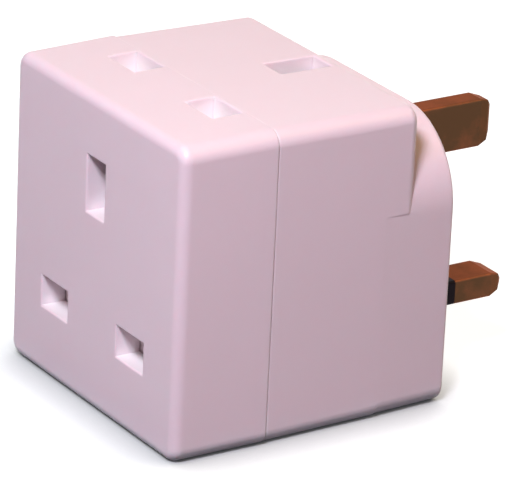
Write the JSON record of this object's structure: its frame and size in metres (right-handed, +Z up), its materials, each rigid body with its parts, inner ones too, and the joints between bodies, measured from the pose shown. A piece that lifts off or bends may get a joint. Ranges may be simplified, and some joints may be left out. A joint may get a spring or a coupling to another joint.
{
  "type": "multi socket adapter",
  "caption": "Cube-shaped mains adapter with a rectangular-pin plug at the rear and shuttered sockets in its front and top faces",
  "frame": {"origin": "under the middle of the whole part, on the surface that it stands on", "axes": "+Y points from the front socket face to the tips of the pins, +Z is up out of the top socket face, +X is to the right seen from the front"},
  "size_m": [0.0492, 0.0724, 0.0507],
  "materials": {
    "case": "smooth moulded, pinkish white",
    "shutter": "plain moulded, off white",
    "pin": "drawn bar, dulled",
    "contact": "rolled strip",
    "sleeve": "moulded, black",
    "steel": "plain bright steel"
  },
  "bodies": {
    "case": {"front_shell": "case", "rear_shell": "case", "front_retainer": "shutter", "top_retainer": "shutter", "front_shutter_spring": "steel", "top_shutter_spring": "steel", "case_screws": "steel", "line_sleeve": "sleeve", "neutral_sleeve": "sleeve", "earth_pin": "pin", "earth_busbar": "contact", "earth_front_clip": "contact", "earth_top_clip": "contact", "earth_rivets": "contact", "line_pin": "pin", "line_busbar": "contact", "line_front_clip": "contact", "line_top_clip": "contact", "line_rivets": "contact", "neutral_pin": "pin", "neutral_busbar": "contact", "neutral_front_clip": "contact", "neutral_top_clip": "contact", "neutral_rivets": "contact"},
    "front_shutter": {"front_shutter": "shutter"},
    "top_shutter": {"top_shutter": "shutter"}
  },
  "joints": [
    {"name": "front_shutter_slide", "type": "slide", "parent": "case", "child": "front_shutter", "axis": [0, 0, -1], "range_m": [0, 0.006], "stiffness_N_per_m": 150, "springref_m": -0.006, "deforming": ["front_shutter_spring"]},
    {"name": "top_shutter_slide", "type": "slide", "parent": "case", "child": "top_shutter", "axis": [0, -1, 0], "range_m": [0, 0.006], "stiffness_N_per_m": 150, "springref_m": -0.006, "deforming": ["top_shutter_spring"]}
  ]
}
